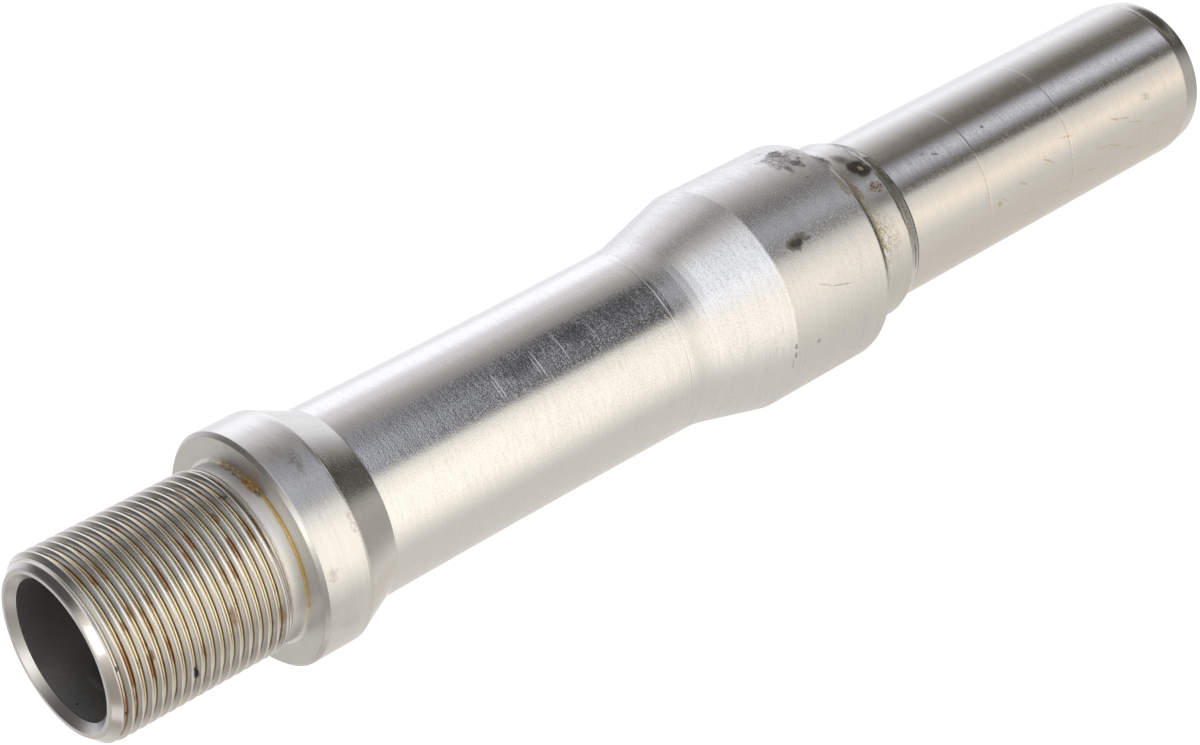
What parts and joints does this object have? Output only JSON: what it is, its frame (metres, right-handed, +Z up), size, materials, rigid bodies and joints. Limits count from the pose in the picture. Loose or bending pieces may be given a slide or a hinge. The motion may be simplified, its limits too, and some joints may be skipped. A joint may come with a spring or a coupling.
{
  "type": "drive shaft",
  "caption": "Hollow turned steel drive shaft: fine external thread and collar at one end, waisted body, flared barrel, neck and polished bearing journal.",
  "frame": {"origin": "on the shaft's axis, in the plane of the journal's end face, on which the shaft stands", "axes": "+Z up the axis, from the journal's end to the threaded end; X and Y are across the shaft and alike"},
  "size_m": [0.0465, 0.0464, 0.2864],
  "materials": {
    "turned_steel": "turned and ground bare steel, polished on the journal, satin elsewhere"
  },
  "bodies": {
    "root": {"drive_shaft": "turned_steel"}
  },
  "joints": []
}
